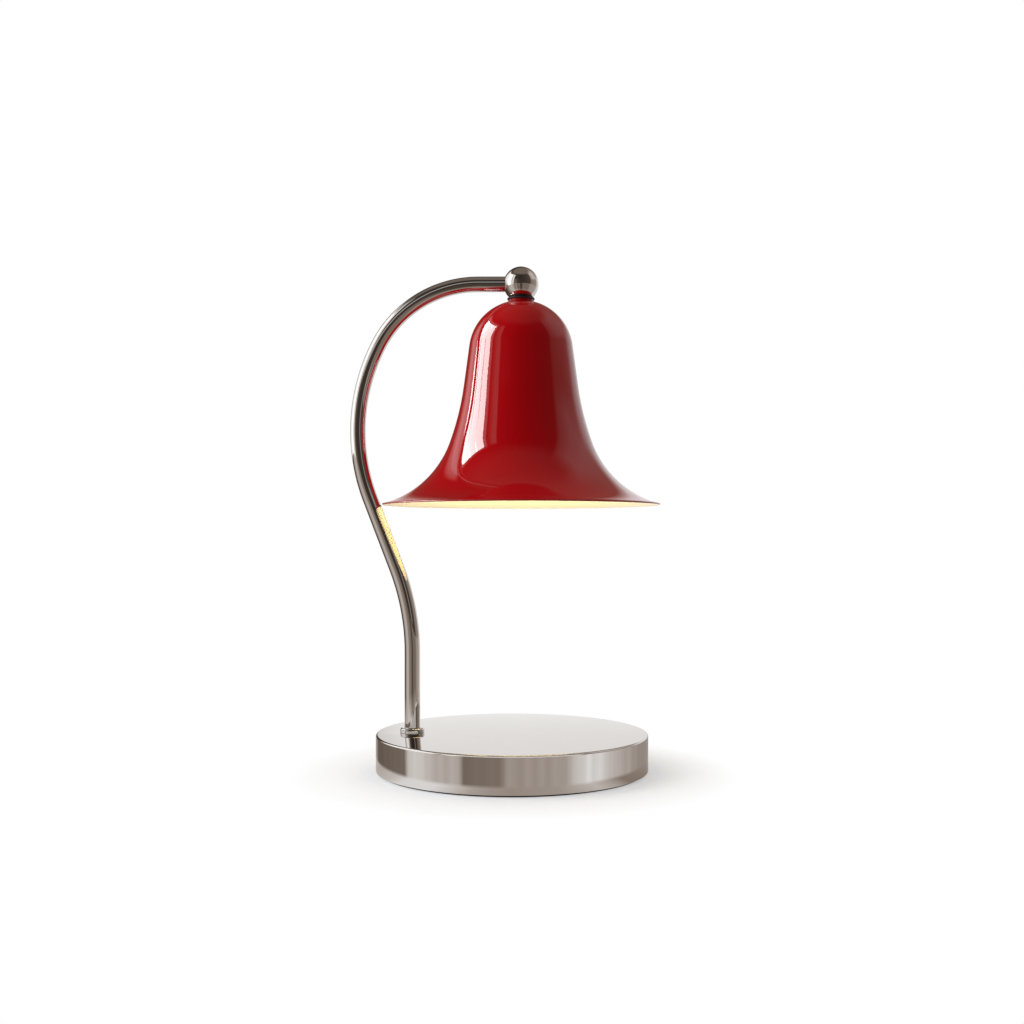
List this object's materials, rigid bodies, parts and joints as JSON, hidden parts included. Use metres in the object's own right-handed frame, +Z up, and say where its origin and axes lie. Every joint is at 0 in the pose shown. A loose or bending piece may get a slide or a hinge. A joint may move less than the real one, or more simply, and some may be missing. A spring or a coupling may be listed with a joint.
{
  "type": "candle warmer lamp",
  "caption": "Table lamp that melts a scented candle from above: weighted round base, bent tube arm, ball elbow and flared shade over a reflector bulb.",
  "frame": {"origin": "centre of the round base's underside, on the surface that the lamp stands on", "axes": "+Z up, -X towards the arm's foot, +Y towards the back of the base"},
  "size_m": [0.1597, 0.1435, 0.2602],
  "materials": {
    "chrome": "polished chrome on steel",
    "red_paint": "deep gloss red outside, cream enamel inside",
    "cast_iron": "rough cast, dark",
    "zinc_plate": "zinc-plated sheet steel",
    "screw_steel": "nickel-plated screws",
    "brass": "turned brass",
    "black_foam": "black non-slip foam",
    "black_nylon": "black moulded nylon",
    "white_nylon": "white moulded nylon",
    "cable_jacket": "heat-resistant silicone sleeve",
    "ceramic": "glazed steatite",
    "mirror_glass": "glass reflector with an aluminium film",
    "clear_glass": "clear quartz capsule",
    "frosted_glass": "lightly frosted front glass"
  },
  "bodies": {
    "base": {"base_shell": "chrome", "ballast_weight": "cast_iron", "bottom_cover": "zinc_plate", "foot_pad": "black_foam", "cover_screws": "screw_steel", "foot_ring": "chrome", "arm_tube": "chrome", "arm_washer": "zinc_plate", "arm_nut": "brass", "ball_elbow": "chrome", "arm_set_screw": "screw_steel", "arm_cable": "cable_jacket", "cord_gland": "black_nylon", "gland_nut": "black_nylon", "dimmer_pot": "zinc_plate", "dimmer_nut": "zinc_plate", "terminal_block": "white_nylon", "terminal_screws": "screw_steel", "arm_leads": "cable_jacket", "dimmer_leads": "cable_jacket"},
    "dimmer": {"dimmer_shaft": "brass", "dimmer_knob": "black_nylon"},
    "shade_head": {"neck_washer": "black_nylon", "neck_collar": "red_paint", "stem_tube": "brass", "swivel_clip": "screw_steel", "shade": "red_paint", "shade_nut": "brass", "holder_bracket": "zinc_plate", "lamp_holder": "ceramic", "holder_screws": "screw_steel", "holder_contacts": "brass", "holder_leads": "cable_jacket"},
    "bulb": {"bulb_cap": "ceramic", "bulb_pins": "screw_steel", "bulb_reflector": "mirror_glass", "bulb_capsule": "clear_glass", "bulb_lens": "frosted_glass"}
  },
  "joints": [
    {"name": "shade_swivel", "type": "hinge", "parent": "base", "child": "shade_head", "pos_m": [0.00465, 0, 0.244], "axis": [0, 0, 1], "range_deg": [-165, 165]},
    {"name": "bulb_twist", "type": "hinge", "parent": "shade_head", "child": "bulb", "pos_m": [0.00465, 0, 0.206], "axis": [0, 0, 1], "range_deg": [0, 20]},
    {"name": "dimmer_turn", "type": "hinge", "parent": "base", "child": "dimmer", "pos_m": [0.045, 0.05362, 0.0103], "axis": [0.6428, 0.766, 0], "range_deg": [0, 280]}
  ]
}
